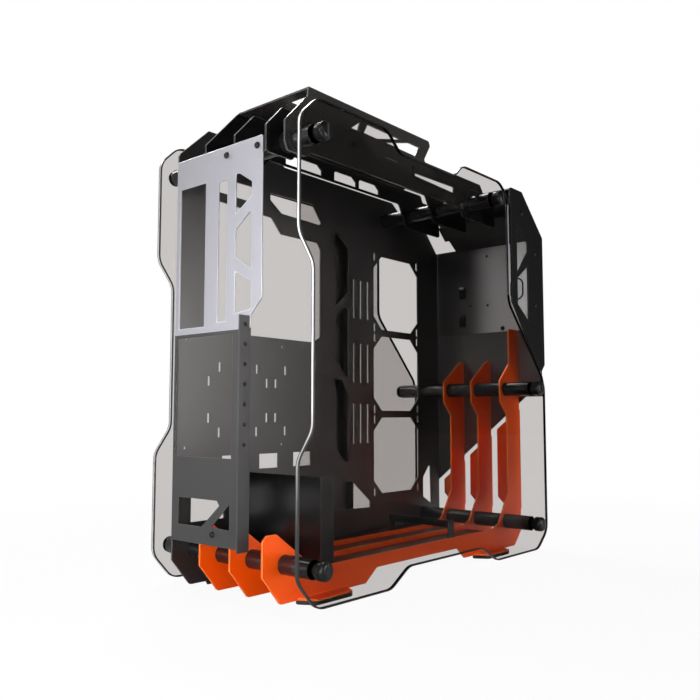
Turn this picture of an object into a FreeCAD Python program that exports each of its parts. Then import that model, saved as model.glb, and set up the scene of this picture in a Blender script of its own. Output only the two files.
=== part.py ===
import FreeCAD, Part
import math
import os

os.makedirs("parts", exist_ok=True)

# Frame used while modelling, in millimetres: X across the case with the open side at -X,
# Y from the rear edge of the glass (0) towards the front (negative), Z up from the glass edge.
# The finished set is moved so that the origin is the middle of its underside.

# Overall sizes
glass_depth = 511.0
glass_height = 512.5
pane_t = 4.0
fin_pitch = 48.3
sheet_t = 2.0
thin_t = 1.5

# Side spacing: fins and tray stand on one pitch, the panes stand outside them
fin_left_x = -1.5 * fin_pitch
fin_mid_x = -0.5 * fin_pitch
fin_right_x = 0.5 * fin_pitch
tray_x = 1.5 * fin_pitch
pane_gap = 41.0
pane_half = tray_x + pane_gap
rail_x = fin_left_x - 14.0

# Rods and the nuts on their ends
rod_d = 20.0
rod_clear = 0.3
stud_d = 8.0
stud_clear = 0.4
nut_len = 15.5
cap_len = 3.5
cap_d = 16.0
nut_bore = 10.0

# Reference planes and levels
rear_y = 5.0
front_y = -glass_depth - 1.0
run_z = 30.0
arch_z = 15.0
lobe_z = 70.0
foot_h = 4.5
foot_reach = 18.0
foot_slant = 12.0
top_rail_z = glass_height - 4.0
handle_z = glass_height + 25.5
fin_top_z = glass_height - 1.5
mid_top_z = glass_height + 3.0
right_top_z = glass_height + 4.0
strip_z = glass_height - 19.5
lobe_drop = 54.5
corner_r = 5.0
pane_r = 24.0
shallow_half = math.radians(68.0)

# Rod centres (Y, Z)
rod_rear_low = (-26.0, 38.8)
rod_front_low = (front_y + 43.5, 37.4)
rod_front_mid = (front_y + 39.6, 226.1)
rod_front_top = (front_y + 139.5, glass_height - 32.5)
rod_rear_top = (-24.2, glass_height - 38.5)
rods = {
    "rod_rear_low": rod_rear_low,
    "rod_front_low": rod_front_low,
    "rod_front_mid": rod_front_mid,
    "rod_front_top": rod_front_top,
    "rod_rear_top": rod_rear_top,
}

# Board, card and fan standards
slot_pitch = 20.32
slot_count = 7
slot_first_z = 159.0
io_open_w = 44.5
io_open_h = 158.8
fan_pitch = 120.0
fan_open = 110.0
fan_chamfer = 19.0
fan_hole_pitch = 105.0
fan_slot_w = 4.4
fan_slot_l = 12.0

parts = {}


def place(plane, u, v, w):
    # u, v lie in the sheet and w is the place along its normal
    if plane == "x":
        return FreeCAD.Vector(w, u, v)
    if plane == "y":
        return FreeCAD.Vector(u, w, v)
    return FreeCAD.Vector(u, v, w)


def outline(plane, points, w, radius, shallow):
    # closed wire through the points, corners rounded, less where an edge is short, shallow ones left
    count = len(points)
    ends = []
    for i in range(count):
        px, py = points[i]
        ax, ay = points[i - 1]
        bx, by = points[(i + 1) % count]
        la = math.hypot(ax - px, ay - py)
        lb = math.hypot(bx - px, by - py)
        ux, uy = (ax - px) / la, (ay - py) / la
        vx, vy = (bx - px) / lb, (by - py) / lb
        half = math.acos(max(-1.0, min(1.0, ux * vx + uy * vy))) / 2.0
        reach = min(radius / math.tan(half), 0.5 * la, 0.5 * lb)
        if reach < 0.05 or half > shallow:
            ends.append(((px, py), None, (px, py)))
            continue
        r = reach * math.tan(half)
        mx, my = ux + vx, uy + vy
        ml = math.hypot(mx, my)
        k = (r / math.sin(half) - r) / ml
        ends.append(((px + ux * reach, py + uy * reach),
                     (px + mx * k, py + my * k),
                     (px + vx * reach, py + vy * reach)))
    edges = []
    for i in range(count):
        start, middle, stop = ends[i]
        after = ends[(i + 1) % count][0]
        if middle is not None:
            arc = Part.Arc(place(plane, start[0], start[1], w),
                           place(plane, middle[0], middle[1], w),
                           place(plane, stop[0], stop[1], w))
            edges.append(arc.toShape())
        if math.hypot(after[0] - stop[0], after[1] - stop[1]) > 0.01:
            edges.append(Part.makeLine(place(plane, stop[0], stop[1], w),
                                       place(plane, after[0], after[1], w)))
    return Part.Wire(edges)


def sheet(plane, points, w, thick, radius=corner_r, shallow=shallow_half):
    # flat sheet piece cut to an outline and thickened along the normal from w
    face = Part.Face(outline(plane, points, w, radius, shallow))
    return face.extrude(place(plane, 0.0, 0.0, thick))


def box(x0, x1, y0, y1, z0, z1):
    return Part.makeBox(x1 - x0, y1 - y0, z1 - z0, FreeCAD.Vector(x0, y0, z0))


def rect(u0, u1, v0, v1):
    return [(u0, v0), (u1, v0), (u1, v1), (u0, v1)]


def pin(plane, u, v, w, length, diameter):
    return Part.makeCylinder(diameter / 2.0, length, place(plane, u, v, w), place(plane, 0, 0, 1))


def drill(shape, plane, centres, w, thick, diameter):
    tools = [pin(plane, u, v, w - 1.0, thick + 2.0, diameter) for u, v in centres]
    return shape.cut(Part.makeCompound(tools))


def open_up(shape, plane, outlines, w, thick, radius=2.0):
    tools = [sheet(plane, pts, w - 1.0, thick + 2.0, radius) for pts in outlines]
    return shape.cut(Part.makeCompound(tools))


def centred(shape_x):
    # a sheet drawn on a fin plane straddles that plane
    return shape_x - sheet_t / 2.0


hole_d = rod_d + rod_clear

# Glass panes: both cut to one outline with a rear waist, a handle notch and a front corner cut away
notch_z = glass_height - 22.5
glass_front = -glass_depth
pane_points = [
    (0.0, 30.0), (0.0, 144.7), (-21.0, 174.7), (-21.0, 341.4), (0.0, 369.7),
    (0.0, glass_height - 24.5), (-25.0, glass_height),
    (-142.0, glass_height), (-166.0, notch_z), (glass_front + 233.0, notch_z),
    (glass_front + 214.0, top_rail_z), (glass_front + 121.0, top_rail_z),
    (glass_front + 98.5, glass_height - 19.5), (glass_front + 98.5, 344.0),
    (glass_front + 7.0, 246.0), (glass_front, 227.5), (glass_front, 23.0), (glass_front + 28.0, 0.0),
    (glass_front + 141.0, 0.0), (glass_front + 178.0, 20.0), (-178.0, 20.0), (-145.0, 0.0), (-27.0, 0.0),
]
stud_hole = stud_d + 2.0
for name, x0 in (("left_glass", -pane_half - pane_t), ("right_glass", pane_half)):
    pane = sheet("x", pane_points, x0, pane_t, pane_r, math.pi / 2.0)
    parts[name] = drill(pane, "x", list(rods.values()), x0, pane_t, stud_hole)

# Cross rods: turned bars with a stud at each end that passes the pane
rod_half = pane_half
stud_near = pane_half + pane_t + nut_bore - 1.0
stud_far = pane_half + pane_t + cap_len
for name, (cy, cz) in rods.items():
    bar = pin("x", cy, cz, -rod_half, 2.0 * rod_half, rod_d)
    stud = pin("x", cy, cz, -stud_near, stud_near + stud_far - 0.5, stud_d)
    parts[name] = bar.fuse(stud).removeSplitter()


def nut_solid(cy, cz):
    # thumb nut turned from one profile: chamfered outer rim and a blind bore from the pane side
    r = rod_d / 2.0 - 0.2
    rb = (stud_d + stud_clear) / 2.0
    profile = [
        (0.0, rb), (0.0, r), (nut_len - 1.4, r), (nut_len, r - 1.4), (nut_len, 0.0), (nut_bore, 0.0),
        (nut_bore, rb),
    ]
    x0 = -pane_half - pane_t
    pts = [FreeCAD.Vector(x0 - a, cy + b, cz) for a, b in profile]
    face = Part.Face(Part.makePolygon(pts + [pts[0]]))
    return face.revolve(FreeCAD.Vector(0, cy, cz), FreeCAD.Vector(1, 0, 0), 360)


def cap_solid(cy, cz):
    # low hexagonal cap on the far pane, threaded on the stud
    x0 = pane_half + pane_t
    corner = cap_d / math.sqrt(3.0)
    turns = [math.radians(60.0 * i) for i in range(6)]
    hexagon = [(cy + corner * math.cos(t), cz + corner * math.sin(t)) for t in turns]
    cap = sheet("x", hexagon, x0, cap_len, 0.0)
    return cap.cut(pin("x", cy, cz, x0 - 1.0, cap_len + 2.0, stud_d + stud_clear))


parts["thumb_nuts"] = Part.makeCompound([nut_solid(*c) for c in rods.values()])
parts["cap_nuts"] = Part.makeCompound([cap_solid(*c) for c in rods.values()])

# Lower fins: L-shaped blades with a rear lobe, a low run over an arch and a front upright
low_back = [
    (rear_y, 30.0), (rear_y, 65.0), (rear_y - 6.0, lobe_z), (-14.0, lobe_z), (-69.0, run_z),
]
low_under = [
    (front_y + 20.0, 0.0), (front_y + 153.0, 0.0), (front_y + 172.0, arch_z), (-173.0, arch_z),
    (-153.0, 0.0), (-20.0, 0.0),
]
low_inner = [
    (front_y + 80.0, run_z), (front_y + 64.0, 37.0), (front_y + 37.0, 76.0), (front_y + 37.0, 189.0),
    (front_y + 55.0, 208.0), (front_y + 56.0, 238.0),
]
panel_top_z = 316.0
tip_z = 268.0
tall_end = [(front_y + 28.0, 265.0), (front_y + 28.0, panel_top_z), (front_y, panel_top_z)]
short_end = [(front_y + 15.0, tip_z), (front_y, tip_z + 6.0)]
front_foot = [(front_y, 20.0)]
low_rods = [rod_rear_low, rod_front_low, rod_front_mid]

# Diagonal shared by the front panel and the ends of the orange flanges
diag_left_z = 206.0
diag_right_z = 86.0
diag_gap = 8.0
flange_w = fin_pitch - 10.0
flange_foot_z = 50.0


def diag_z(x):
    return diag_left_z + (diag_right_z - diag_left_z) * (x - fin_left_x) / (tray_x - fin_left_x)


def low_fin(x, end):
    pts = low_back + low_inner + end + front_foot + low_under
    blade = sheet("x", pts, centred(x), sheet_t)
    blade = drill(blade, "x", low_rods, centred(x), sheet_t, hole_d)
    xa = centred(x)
    xb = xa + flange_w
    flange = [
        (xa, flange_foot_z), (xa, diag_z(xa) - diag_gap), (xb, diag_z(xb) - diag_gap),
        (xb, flange_foot_z + 16.0), (xb - 12.0, flange_foot_z + 4.0), (xa + 8.0, flange_foot_z),
    ]
    fold = sheet("y", flange, front_y - sheet_t, sheet_t, 1.5)
    return blade.fuse(fold).removeSplitter()


# Feet: the outer edge of each spans one stretch, and both ends slant to a longer edge at the blade
foot_spans = [(-110.0, -56.0), (front_y + 67.0, front_y + 118.0)]
foot_sides = {"left": (fin_left_x + sheet_t / 2.0, fin_left_x - foot_reach),
              "right": (tray_x - sheet_t / 2.0, tray_x + foot_reach)}


def foot_plate(side, span, z, thick):
    x_in, x_out = foot_sides[side]
    plan = [(x_in, span[0] - foot_slant), (x_in, span[1] + foot_slant), (x_out, span[1]), (x_out, span[0])]
    return sheet("z", plan, z, thick, 0.0)


# A foot shelf is folded outward from the lower edge of each side blade
fin_left = low_fin(fin_left_x, tall_end)
for span in foot_spans:
    fin_left = fin_left.fuse(foot_plate("left", span, 0.0, sheet_t))
parts["fin_left"] = fin_left.removeSplitter()
parts["fin_middle"] = low_fin(fin_mid_x, short_end)
parts["fin_right"] = low_fin(fin_right_x, short_end)

# Tray: full side wall on the fourth plane, with board, cable and fan openings
fan_y = front_y + 110.5
fan_zs = [130.0 + fan_pitch * i for i in range(3)]
half_open = fan_open / 2.0


def octagon(cy, cz):
    a, b = half_open, half_open - fan_chamfer
    return [(cy - a, cz - b), (cy - b, cz - a), (cy + b, cz - a), (cy + a, cz - b),
            (cy + a, cz + b), (cy + b, cz + a), (cy - b, cz + a), (cy - a, cz + b)]


io_low_z = 284.0
io_top_z = io_low_z + io_open_h
tray_points = low_back[:1] + [
    (rear_y, glass_height - 26.0), (rear_y - 42.0, glass_height + 13.5), (-150.0, glass_height + 13.5),
    (-162.0, glass_height), (front_y + 120.0, glass_height), (front_y + 101.0, glass_height - 14.0),
    (front_y + 82.0, glass_height - 29.0), (front_y + 31.0, glass_height - 30.5),
    (front_y, glass_height - 63.5),
] + front_foot + low_under
tray = sheet("x", tray_points, centred(tray_x), sheet_t)
cpu_open = [
    (-46.0, 287.0), (-217.0, 286.0), (-232.0, 294.0), (-232.0, 414.0), (-226.0, 422.5), (-158.0, 422.5),
    (-141.0, 441.0), (-46.0, 445.0),
]
cable_para = [
    [(-138.0, 473.0), (-216.0, 474.0), (-233.0, 452.0), (-229.0, 448.0), (-158.0, 450.0), (-138.0, 464.0)],
    [(-46.0, 474.0), (-116.0, 474.0), (-124.0, 464.0), (-112.0, 454.0), (-46.0, 456.0)],
]
cable_rects = [rect(-96.0 - 59.0 * i, -64.0 - 59.0 * i, 123.0, 141.0) for i in range(3)]
supply_pass = rect(-68.0, -19.5, 68.5, 104.0)
truss_cuts = [
    [(-263.0, 446.0), (-290.0, 425.0), (-290.0, 363.0), (-264.0, 342.0)],
    [(-262.0, 323.0), (-286.0, 342.0), (-290.0, 338.0), (-290.0, 241.0), (-263.0, 262.0)],
    [(-263.0, 238.0), (-276.0, 238.0), (-290.0, 217.0), (-290.0, 124.0), (-284.0, 124.0), (-263.0, 145.0)],
    [(-262.0, 86.0), (-276.0, 96.0), (-300.0, 96.0), (-338.0, 66.0), (-338.0, 57.0), (-262.0, 60.0)],
]
front_hex = [[(front_y + 24.0, 108.0), (front_y + 22.0, 50.0), (front_y + 44.0, 62.0),
              (front_y + 44.0, 92.0), (front_y + 28.0, 110.0)]]
strap_slots = []
for zc in (149.0, 235.0, 327.0):
    for i in range(3):
        y0 = front_y + 210.0 - 15.5 * i
        strap_slots.append(rect(y0 - 2.0, y0 + 2.0, zc, zc + 55.0))
fan_slots = []
for zc in fan_zs:
    for sy in (-1, 1):
        for sz in (-1, 1):
            y0 = fan_y + sy * fan_hole_pitch / 2.0
            z0 = zc + sz * fan_hole_pitch / 2.0
            fan_slots.append(rect(y0 - fan_slot_w / 2.0, y0 + fan_slot_w / 2.0,
                                  z0 - fan_slot_l / 2.0, z0 + fan_slot_l / 2.0))
drive_slots = []
for y0, dz in ((-43.0, 21.5), (-59.0, 38.5), (-118.0, 38.5), (-135.0, 21.5), (-150.0, 21.5), (-167.0, 38.5)):
    for s in (-1, 1):
        drive_slots.append(rect(y0 - 2.0, y0 + 2.0, 207.0 + s * dz - 5.5, 207.0 + s * dz + 5.5))
tray = open_up(tray, "x", [cpu_open], centred(tray_x), sheet_t, 4.0)
cable_cuts = cable_para + cable_rects + [supply_pass]
tray = open_up(tray, "x", cable_cuts + truss_cuts + front_hex, centred(tray_x), sheet_t, 0.0)
tray = open_up(tray, "x", [octagon(fan_y, z) for z in fan_zs], centred(tray_x), sheet_t, 0.0)
tray = open_up(tray, "x", strap_slots + drive_slots, centred(tray_x), sheet_t, 0.0)
tray = open_up(tray, "x", fan_slots, centred(tray_x), sheet_t, fan_slot_w / 2.0)
board_holes = [(y, z) for y in (-10.0, -161.0) for z in (152.0, 276.0)]
tray = drill(tray, "x", board_holes, centred(tray_x), sheet_t, 3.4)
tray = drill(tray, "x", list(rods.values()), centred(tray_x), sheet_t, hole_d)
for span in foot_spans:
    tray = tray.fuse(foot_plate("right", span, 0.0, sheet_t))
parts["tray"] = tray.removeSplitter()

# Rubber pads under the four foot shelves
for side in foot_sides:
    for end, span in zip(("rear", "front"), foot_spans):
        pad = foot_plate(side, span, -foot_h, foot_h)
        low = [e for e in pad.Edges if e.BoundBox.ZMax < -foot_h + 0.01]
        parts["foot_" + end + "_" + side] = pad.makeChamfer(1.2, low)

# Cable channel behind the tray, which backs the triangular openings
chan_x0 = tray_x + sheet_t / 2.0
chan_x1 = chan_x0 + 12.0
chan_y0, chan_y1 = -303.0, -252.0
chan_z0, chan_z1 = 52.0, 458.0
channel = box(chan_x0, chan_x1, chan_y0, chan_y1, chan_z0, chan_z1)
hollow = box(chan_x0 - 1.0, chan_x1 - thin_t, chan_y0 + thin_t, chan_y1 - thin_t, chan_z0 + thin_t,
             chan_z1 - thin_t)
parts["cable_channel"] = channel.cut(hollow)

# Upper fins: slim strips with a lobe at each rod and a folded tab for the rear bracket
lobe_low = glass_height - lobe_drop
tab_w = 18.0
tab_z = (lobe_low + 1.0, glass_height - 37.5)
strip_front = front_y + 68.0


def upper_points(peak, level, rise, rise_end):
    # the top drops from its peak to the level, and the lower edge is raised from the front lobe to rise_end
    run = peak - (glass_height - 26.0)
    pts = [(rear_y, lobe_low), (rear_y, glass_height - 26.0), (rear_y - run * 0.93, peak)]
    if peak > level:
        pts += [(-262.0, peak), (-250.0, level)]
    pts += [
        (front_y + 112.0, level), (front_y + 108.0, top_rail_z - sheet_t),
        (strip_front, top_rail_z - sheet_t), (strip_front - 5.0, lobe_low + 3.0),
        (front_y + 148.0, lobe_low + 3.0), (front_y + 166.0 + rise, strip_z + rise),
    ]
    if rise > 0.0:
        pts += [(rise_end, strip_z + rise), (rise_end + rise, strip_z)]
    return pts + [(-65.0, strip_z), (-33.0, lobe_low)]


def upper_fin(x, peak, level, rise, rise_end):
    fin = sheet("x", upper_points(peak, level, rise, rise_end), centred(x), sheet_t, 4.0)
    fin = drill(fin, "x", [rod_rear_top, rod_front_top], centred(x), sheet_t, hole_d)
    tab = box(centred(x), centred(x) + tab_w, rear_y - sheet_t, rear_y, tab_z[0], tab_z[1])
    return fin.fuse(tab).removeSplitter()


window_z = (strip_z + 3.0, fin_top_z - 2.5)
fin_windows = []
for y0, length in ((-118.0, 64.0), (-206.0, 44.0), (-256.0, 43.0)):
    fin_windows.append([(y0, window_z[0]), (y0, window_z[1] - 3.0), (y0 - 3.0, window_z[1]),
                        (y0 - length + 8.0, window_z[1]), (y0 - length, window_z[1] - 6.0),
                        (y0 - length, window_z[0])])
parts["upper_fin_left"] = upper_fin(fin_left_x, fin_top_z, fin_top_z, 5.5, -252.0)
parts["upper_fin_middle"] = upper_fin(fin_mid_x, mid_top_z, mid_top_z, 3.0, -297.0)
fin_right_top = upper_fin(fin_right_x, handle_z - sheet_t, right_top_z, 0.0, 0.0)
parts["upper_fin_right"] = open_up(fin_right_top, "x", fin_windows, centred(fin_right_x), sheet_t, 0.0)

# Handle sheet: side rail with the grip openings, rolled over the top and bridged to the right fin
rail_low = glass_height - 46.5
bridge_y = (-95.0, -58.0, -43.0)
bridge_in = fin_mid_x - 19.0
rail_points = [
    (-8.0, rail_low + 4.0), (-8.0, glass_height - 20.5), (-42.0, handle_z - 10.0), (-43.0, handle_z),
    (-264.0, handle_z), (-267.0, handle_z - 6.0), (-252.0, top_rail_z), (front_y + 126.0, top_rail_z),
    (front_y + 116.0, top_rail_z - 12.0), (front_y + 152.0, top_rail_z - 12.0),
    (front_y + 168.0, rail_low), (-47.0, rail_low), (-39.0, rail_low - 6.0), (-12.0, rail_low - 6.0),
]
rail_x0 = rail_x - sheet_t / 2.0
rail = sheet("x", rail_points, rail_x0, sheet_t, 3.0)
grip_z = handle_z - 12.0
grips = [
    [(-112.0, grip_z - 14.0), (-127.0, grip_z - 3.0), (-123.0, grip_z - 14.0)],
    [(-134.0, grip_z - 13.5), (-141.0, grip_z - 1.5), (-204.0, grip_z - 2.0), (-157.5, grip_z - 14.0)],
    [(-175.0, grip_z - 14.0), (-222.0, grip_z - 1.5), (-244.0, grip_z - 1.5), (-234.0, grip_z - 15.0)],
]
rail_slots = [
    rect(-267.0, -246.0, top_rail_z - 6.0, top_rail_z - 2.5),
    [(-233.0, top_rail_z - 19.5), (-233.0, top_rail_z - 23.0), (-320.0, top_rail_z - 26.0),
     (-320.0, top_rail_z - 18.0)],
    rect(-196.0, -174.0, top_rail_z - 17.0, top_rail_z - 14.5),
]
rail = open_up(rail, "x", grips + rail_slots, rail_x0, sheet_t, 0.0)
rail = drill(rail, "x", [rod_rear_top], rail_x0, sheet_t, hole_d)
rail = drill(rail, "x", [(-116.0, top_rail_z - 15.0), (-229.0, top_rail_z - 15.0)], rail_x0, sheet_t, 4.0)
roll = box(rail_x0, rail_x0 + 14.0, -260.0, bridge_y[2], handle_z - sheet_t, handle_z)
bridge_x1 = centred(fin_right_x) + sheet_t
bridge = box(rail_x0, bridge_x1, bridge_y[1], bridge_y[2], handle_z - sheet_t, handle_z)
wide = box(bridge_in, bridge_x1, bridge_y[0], bridge_y[1], handle_z - sheet_t, handle_z)
parts["handle_rail"] = rail.fuse([roll, bridge, wide]).removeSplitter()

# Rear upper bracket: board port opening, card slot and a truss edge, standing on the card frame
mid_z = 277.5
upper_top = glass_height - 36.5
bracket_l = fin_left_x + 2.5
bracket_r = tray_x - 1.0
card_in = tray_x - 6.5
card_out = card_in - 92.5
tab_out = card_out - 27.0
bracket_points = [
    (bracket_r, mid_z), (bracket_r, upper_top), (bracket_l, upper_top), (bracket_l, mid_z + 29.0),
    (tab_out, mid_z + 13.0), (tab_out, mid_z), (tab_out + 15.0, mid_z),
]
port_r = bracket_r - 6.5
truss_w = (tab_out - 1.0, tab_out + 24.5)
bracket_cuts = [
    rect(port_r - io_open_w, port_r, io_low_z, io_top_z),
    rect(card_out + 11.0, card_out + 25.5, io_low_z + 3.0, io_top_z - 3.0),
    [(truss_w[1], io_top_z), (truss_w[1] - 5.0, io_top_z), (truss_w[0], io_top_z - 13.0),
     (truss_w[0], io_top_z - 28.0), (truss_w[1], io_top_z - 43.0)],
    [(truss_w[0] + 3.0, io_top_z - 43.5), (truss_w[0], io_top_z - 48.0), (truss_w[0], io_top_z - 104.0),
     (truss_w[1], io_top_z - 89.0), (truss_w[1], io_top_z - 60.0)],
    [(truss_w[1], io_top_z - 104.0), (truss_w[0], io_top_z - 117.0), (truss_w[0], 297.0),
     (truss_w[1], 294.0)],
]
bracket = sheet("y", bracket_points, rear_y, thin_t, 1.5)
bracket = open_up(bracket, "y", bracket_cuts, rear_y, thin_t, 0.0)
parts["rear_bracket"] = bracket

# Rear lower plate: card frame, screw rail folded outward and a window over the supply bay
low_z = 53.0
card_low = slot_first_z - 15.0
card_high = card_low + slot_pitch * slot_count - 13.0
rail_out = 14.0
plate_points = [
    (bracket_r, low_z), (bracket_r, mid_z), (tab_out + 15.0, mid_z), (tab_out, mid_z), (tab_out, low_z),
]
plate_cuts = [
    rect(card_out, card_in, card_low, card_high),
    rect(card_out - 13.0, card_out - 10.0, low_z + 9.0, mid_z - 6.0),
    [(card_in - 6.0, 71.0), (card_in - 6.0, 100.0), (card_out + 21.5, 100.0), (card_out + 17.5, 95.0),
     (card_out + 46.5, 71.0)],
    [(card_out + 1.5, 98.0), (card_out + 1.5, 71.0), (card_out + 30.5, 72.0)],
]
plate = sheet("y", plate_points, rear_y, thin_t, 1.0)
plate = open_up(plate, "y", plate_cuts, rear_y, thin_t, 0.0)
comb = [rect(card_in + 1.5, card_in + 4.0, slot_first_z - 7.0 + slot_pitch * i,
             slot_first_z + 2.0 + slot_pitch * i) for i in range(slot_count - 1)]
plate = open_up(plate, "y", comb, rear_y, thin_t, 0.0)
screw_rail = box(tab_out, tab_out + thin_t, rear_y, rear_y + thin_t + rail_out, low_z, mid_z + 12.5)
card_holes = [(rear_y + thin_t + 6.0, slot_first_z + slot_pitch * i) for i in range(slot_count)]
screw_rail = drill(screw_rail, "x", card_holes, tab_out, thin_t, 3.4)
screw_rail = screw_rail.cut(box(tab_out - 1.0, tab_out + 3.0, rear_y - 1.0, rear_y + thin_t + 0.2,
                                mid_z, mid_z + 20.0))
parts["rear_plate"] = plate.fuse(screw_rail).removeSplitter()
fin_tab = box(centred(fin_mid_x), centred(fin_mid_x) + tab_w, rear_y - sheet_t, rear_y, 56.0, 65.0)
parts["fin_middle"] = parts["fin_middle"].fuse(fin_tab).removeSplitter()

# Supply bracket: plate across the fins with a forward side flange
supply_y = -80.0
supply_z = 123.0
supply_out = fin_left_x - sheet_t / 2.0
plate_x1 = tray_x - sheet_t / 2.0
supply = box(supply_out, plate_x1, supply_y, supply_y + thin_t, run_z, supply_z)
side = box(supply_out, supply_out + thin_t, supply_y - 19.0, supply_y + thin_t, run_z, supply_z)
parts["supply_bracket"] = supply.fuse(side).removeSplitter()

# Supply stop: strap across two fins that keeps the far end of the supply in place
stop_y = front_y + 192.0
stop_z = 53.0
stop_x0 = fin_left_x - sheet_t / 2.0
stop_x1 = fin_right_x + sheet_t / 2.0
strap = box(stop_x0, stop_x1, stop_y - thin_t, stop_y, stop_z - 9.0, stop_z)
leg_l = box(stop_x0, stop_x0 + thin_t, stop_y - 13.0, stop_y, run_z, stop_z)
leg_r = box(stop_x1 - thin_t, stop_x1, stop_y - 13.0, stop_y, run_z, stop_z)
parts["supply_stop"] = strap.fuse([leg_l, leg_r]).removeSplitter()

# Floor strips: shallow channels that close the bays between the blades
floor_z = 24.0
floor_gap = 0.2
bays = [("floor_left", fin_left_x, fin_mid_x), ("floor_middle", fin_mid_x, fin_right_x),
        ("floor_right", fin_right_x, tray_x)]
for name, xa, xb in bays:
    x0 = xa + sheet_t / 2.0 + floor_gap
    x1 = xb - sheet_t / 2.0 - floor_gap
    strip = box(x0, x1, front_y + 72.0, -100.0, floor_z - 7.0, floor_z)
    inner = box(x0 + thin_t, x1 - thin_t, front_y + 71.0, -99.0, floor_z - 8.0, floor_z - thin_t)
    parts[name] = strip.cut(inner)

# Front panel: lies against the uprights above the shared diagonal and reaches out to the open side
panel_out = -pane_half + 1.5
panel_step = 216.0
step_x = fin_left_x - 12.0
panel_points = [
    (panel_out, panel_top_z), (panel_out, panel_step), (step_x, panel_step),
    (fin_left_x, diag_left_z), (tray_x + 1.0, diag_z(tray_x + 1.0)), (tray_x + 1.0, panel_top_z),
]
panel = sheet("y", panel_points, front_y - sheet_t, sheet_t, 1.5)
parts["front_panel"] = panel

# Port cover: one sheet folded twice, upright, sloped port face and short top
cover_y = front_y - 2.0 * sheet_t
cover_low = panel_top_z - 20.0
bend_z = glass_height - 61.5
slope_y = front_y + 56.5
top_y = front_y + 86.0
cover_x0 = -pane_half
cover_x1 = tray_x + 1.0
slope_x1 = tray_x - 25.0
rise = top_rail_z - bend_z
run = slope_y - cover_y
slope_len = math.hypot(run, rise)
ty, tz = run / slope_len, rise / slope_len
ny, nz = -tz, ty
back = [
    (cover_y, cover_low), (cover_y, bend_z), (slope_y, top_rail_z), (top_y, top_rail_z),
    (top_y, top_rail_z - sheet_t), (slope_y + 0.8, top_rail_z - sheet_t),
    (cover_y + sheet_t, bend_z - 0.8), (cover_y + sheet_t, cover_low),
]
cover = sheet("x", back, cover_x0, cover_x1 - cover_x0, 0.0)
trim = [(slope_x1 - 12.0, bend_z + 1.0), (slope_x1 + 4.0, glass_height + 30.0),
        (cover_x1 + 5.0, glass_height + 30.0), (cover_x1 + 5.0, bend_z + 1.0)]
cover = cover.cut(sheet("y", trim, cover_y - 5.0, top_y - cover_y + 10.0, 0.0))


def on_slope(x, along, height):
    # point on the outer port face, along it from the lower fold and out from it
    return FreeCAD.Vector(x, cover_y + ty * along + ny * height, bend_z + tz * along + nz * height)


def slope_pin(x, along, h0, h1, diameter):
    axis = FreeCAD.Vector(0, ny, nz)
    return Part.makeCylinder(diameter / 2.0, h1 - h0, on_slope(x, along, h0), axis)


def slope_box(x0, x1, a0, a1, h0, h1):
    pts = [on_slope(x0, a0, h0), on_slope(x1, a0, h0), on_slope(x1, a1, h0), on_slope(x0, a1, h0)]
    face = Part.Face(Part.makePolygon(pts + [pts[0]]))
    return face.extrude(FreeCAD.Vector(0, ny * (h1 - h0), nz * (h1 - h0)))


def slope_hex(x, along, h0, h1, across):
    # hexagonal bar standing on the port face, sized across its flats
    pts = []
    for i in range(6):
        turn = math.radians(60.0 * i)
        pts.append(on_slope(x + across / math.sqrt(3.0) * math.cos(turn),
                            along + across / math.sqrt(3.0) * math.sin(turn), h0))
    face = Part.Face(Part.makePolygon(pts + [pts[0]]))
    return face.extrude(FreeCAD.Vector(0, ny * (h1 - h0), nz * (h1 - h0)))


# Ports and switches sit in one row on the sloped face, all on one small board behind it
port_line = slope_len * 0.55
port_clear = 0.4
board_h = -13.0
board_t = 1.6
power_x, reset_x = cover_x0 + 21.5, cover_x0 + 41.5
power_d, reset_d = 13.0, 6.0
button_gap = 0.5
button_travel = 1.5
usb_xs = [cover_x0 + 93.5, cover_x0 + 115.5]
usb_w, usb_h = 15.0, 7.4
usbc_x, usbc_w, usbc_h = cover_x0 + 69.5, 9.6, 3.9
jack_xs = [cover_x0 + 131.5, cover_x0 + 141.5]
jack_d = 8.0
holes = [slope_pin(power_x, port_line, -5.0, 2.0, power_d + 2.0 * button_gap),
         slope_pin(reset_x, port_line, -5.0, 2.0, reset_d + 2.0 * button_gap)]
for x in usb_xs:
    holes.append(slope_box(x - usb_w / 2.0 - port_clear, x + usb_w / 2.0 + port_clear,
                           port_line - usb_h / 2.0 - port_clear, port_line + usb_h / 2.0 + port_clear,
                           -5.0, 2.0))
holes.append(slope_box(usbc_x - usbc_w / 2.0 - port_clear, usbc_x + usbc_w / 2.0 + port_clear,
                       port_line - usbc_h / 2.0 - port_clear, port_line + usbc_h / 2.0 + port_clear,
                       -5.0, 2.0))
for x in jack_xs:
    holes.append(slope_pin(x, port_line, -5.0, 2.0, jack_d + 2.0 * port_clear))
parts["port_cover"] = cover.cut(Part.makeCompound(holes)).removeSplitter()

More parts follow.
